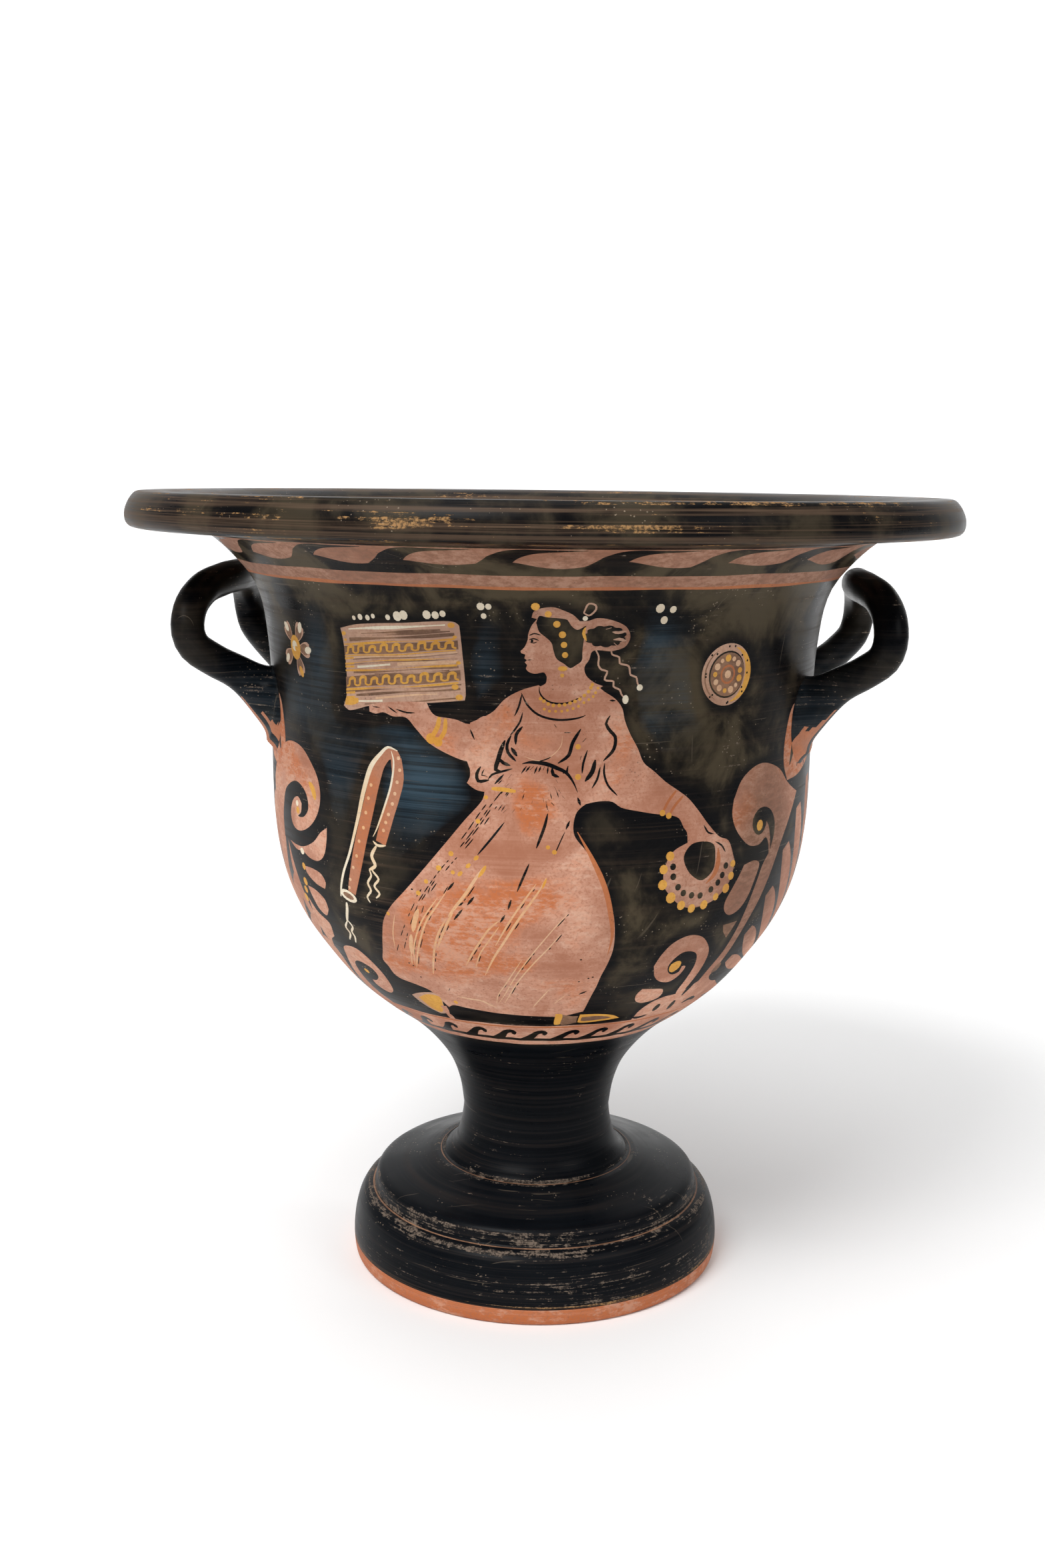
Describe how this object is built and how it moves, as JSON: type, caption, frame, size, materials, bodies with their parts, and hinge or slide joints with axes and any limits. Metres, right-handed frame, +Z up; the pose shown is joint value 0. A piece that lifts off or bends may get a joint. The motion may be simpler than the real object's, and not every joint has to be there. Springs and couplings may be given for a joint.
{
  "type": "red-figure bell krater",
  "caption": "Fired-clay bell krater: open bowl with flaring neck and heavy lip, stem on a stepped disc foot, upturned loop handles; painted with a woman and palmettes.",
  "frame": {"origin": "middle of the underside, on the surface the vessel stands on", "axes": "+Z up along the axis of turning, X through both handles, -Y towards the painted woman on the front"},
  "size_m": [0.371, 0.371, 0.36],
  "materials": {
    "fired_clay": "black gloss slip over orange clay"
  },
  "bodies": {
    "root": {"krater": "fired_clay"}
  },
  "joints": []
}
